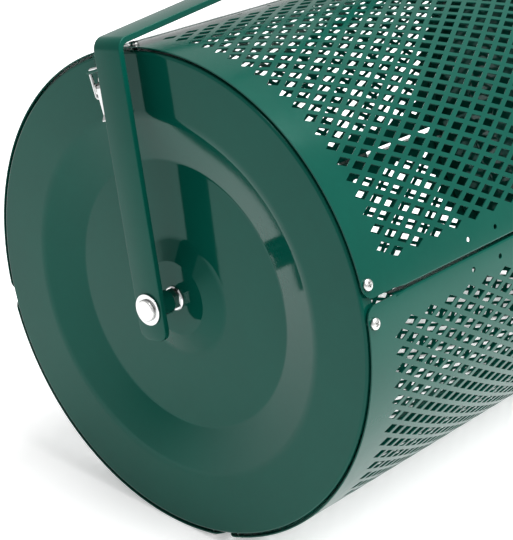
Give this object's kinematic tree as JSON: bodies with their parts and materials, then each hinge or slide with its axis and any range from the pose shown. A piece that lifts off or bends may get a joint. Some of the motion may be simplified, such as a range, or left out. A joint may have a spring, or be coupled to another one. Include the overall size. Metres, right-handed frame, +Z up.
{
  "type": "compost spreader roller",
  "caption": "Perforated drum that rolls on stub axles in a flat-bar yoke with a T handle; a hinged drum door has side toggle latches.",
  "frame": {"origin": "bottom centre of the bounding box: under the drum, where it meets the ground", "axes": "+Z up, +X along the drum, +Y to the back, where the handle leans"},
  "size_m": [0.6652, 0.4002, 1.1207],
  "materials": {
    "green_paint": "gloss dark green powder coat",
    "zinc": "zinc plated",
    "bright_zinc": "bright plated",
    "foam": "soft black foam",
    "black_plastic": "moulded"
  },
  "bodies": {
    "frame": {"yoke": "green_paint", "handle_socket": "green_paint", "handle_lower_tube": "green_paint", "handle_top": "green_paint", "cross_bolt_lower": "zinc", "cross_bolt_upper": "zinc", "wing_nut_lower": "zinc", "wing_nut_upper": "zinc", "axle_bolt_left": "zinc", "axle_bolt_right": "zinc", "axle_washer_left": "zinc", "axle_washer_right": "zinc", "axle_spacer_left": "green_paint", "axle_spacer_right": "green_paint", "flange_nut_left": "bright_zinc", "flange_nut_right": "bright_zinc", "lock_nut_left": "zinc", "lock_nut_right": "zinc", "socket_bolt_left": "zinc", "socket_bolt_right": "zinc", "foam_grip_left": "foam", "foam_grip_right": "foam", "end_plug_left": "black_plastic", "end_plug_right": "black_plastic"},
    "drum": {"end_disc_left": "green_paint", "end_disc_right": "green_paint", "front_lower_panel": "green_paint", "front_upper_panel": "green_paint", "hinge_leaf_drum_left": "zinc", "hinge_leaf_drum_right": "zinc", "hinge_pin_left": "zinc", "hinge_pin_right": "zinc", "hub_bush_left": "bright_zinc", "hub_bush_right": "bright_zinc", "latch_base_left": "zinc", "latch_base_right": "zinc", "rear_lower_panel": "green_paint", "screw_front_lower_1_left": "zinc", "screw_front_lower_1_right": "zinc", "screw_front_lower_2_left": "zinc", "screw_front_lower_2_right": "zinc", "screw_front_upper_1_left": "zinc", "screw_front_upper_1_right": "zinc", "screw_front_upper_2_left": "zinc", "screw_front_upper_2_right": "zinc", "screw_rear_lower_1_left": "zinc", "screw_rear_lower_1_right": "zinc", "screw_rear_lower_2_left": "zinc", "screw_rear_lower_2_right": "zinc"},
    "door": {"door_panel": "green_paint", "hinge_leaf_door_left": "zinc", "hinge_leaf_door_right": "zinc", "latch_hook_left": "green_paint", "latch_hook_right": "green_paint"},
    "latch_lever_left": {"latch_lever_left": "bright_zinc"},
    "latch_bail_left": {"latch_bail_left": "bright_zinc"},
    "latch_lever_right": {"latch_lever_right": "bright_zinc"},
    "latch_bail_right": {"latch_bail_right": "bright_zinc"}
  },
  "joints": [
    {"name": "drum_spin", "type": "hinge", "parent": "frame", "child": "drum", "pos_m": [0, -0.00009, 0.2], "axis": [1, 0, 0], "continuous": true},
    {"name": "door_open", "type": "hinge", "parent": "drum", "child": "door", "pos_m": [0, 0.19669, 0.14543], "axis": [-1, 0, 0], "range_deg": [0, 140]},
    {"name": "latch_left_open", "type": "hinge", "parent": "drum", "child": "latch_lever_left", "pos_m": [-0.311, 0.05958, 0.36131], "axis": [0, 0.9379, -0.3469], "range_deg": [0, 130]},
    {"name": "latch_left_bail", "type": "hinge", "parent": "latch_lever_left", "child": "latch_bail_left", "pos_m": [-0.311, 0.05716, 0.35475], "axis": [0, 0.9379, -0.3469], "range_deg": [-145, 0]},
    {"name": "latch_right_open", "type": "hinge", "parent": "drum", "child": "latch_lever_right", "pos_m": [0.311, 0.05958, 0.36131], "axis": [0, -0.9379, 0.3469], "range_deg": [0, 130]},
    {"name": "latch_right_bail", "type": "hinge", "parent": "latch_lever_right", "child": "latch_bail_right", "pos_m": [0.311, 0.05716, 0.35475], "axis": [0, -0.9379, 0.3469], "range_deg": [-145, 0]}
  ],
  "couplings": [
    {"joint": "latch_left_bail", "follows": "latch_left_open", "ratio": -1.1},
    {"joint": "latch_right_bail", "follows": "latch_right_open", "ratio": -1.1}
  ]
}
